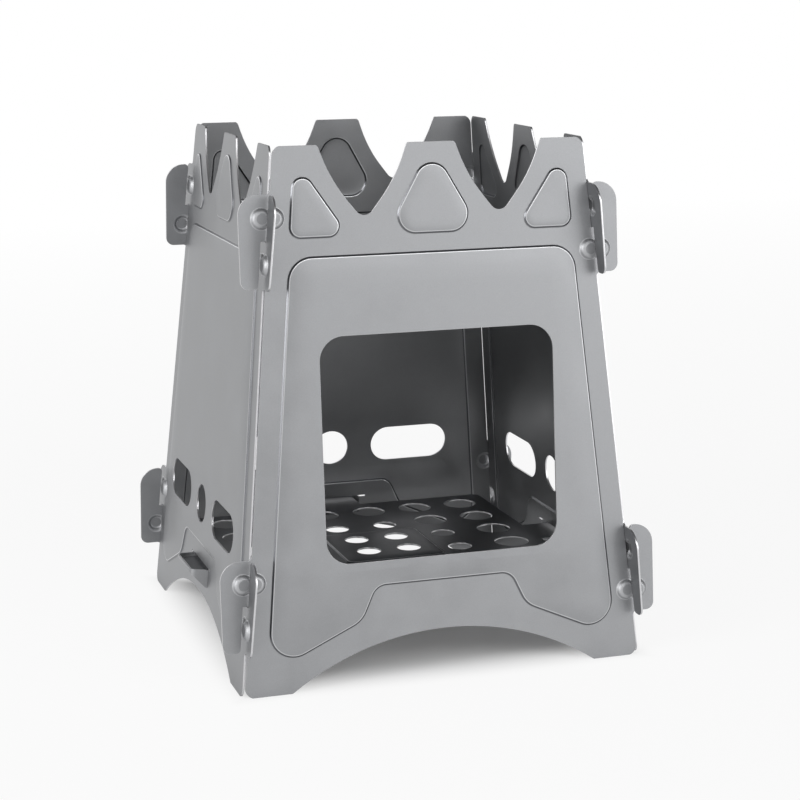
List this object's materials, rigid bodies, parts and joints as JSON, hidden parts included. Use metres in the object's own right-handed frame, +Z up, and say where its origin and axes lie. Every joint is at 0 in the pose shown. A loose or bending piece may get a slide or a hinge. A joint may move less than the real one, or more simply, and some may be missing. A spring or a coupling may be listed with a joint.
{
  "type": "camping wood stove",
  "caption": "Flat-pack twig stove: leaning sheet-metal walls with a pot crown hook together at the corners round a perforated fire grate.",
  "frame": {"origin": "on the ground, in the middle of the square that the four walls make", "axes": "+Z up, from the feet to the crown; +Y from the wall with the fuel window to the back wall; +X to the right seen from the fuel window"},
  "size_m": [0.1506, 0.1506, 0.175],
  "materials": {
    "wall_sheet": "satin, bead-blasted",
    "grate_sheet": "satin, bead-blasted"
  },
  "bodies": {
    "root": {"front_wall": "wall_sheet", "left_wall": "wall_sheet", "back_wall": "wall_sheet", "right_wall": "wall_sheet", "fire_grate": "grate_sheet"}
  },
  "joints": []
}
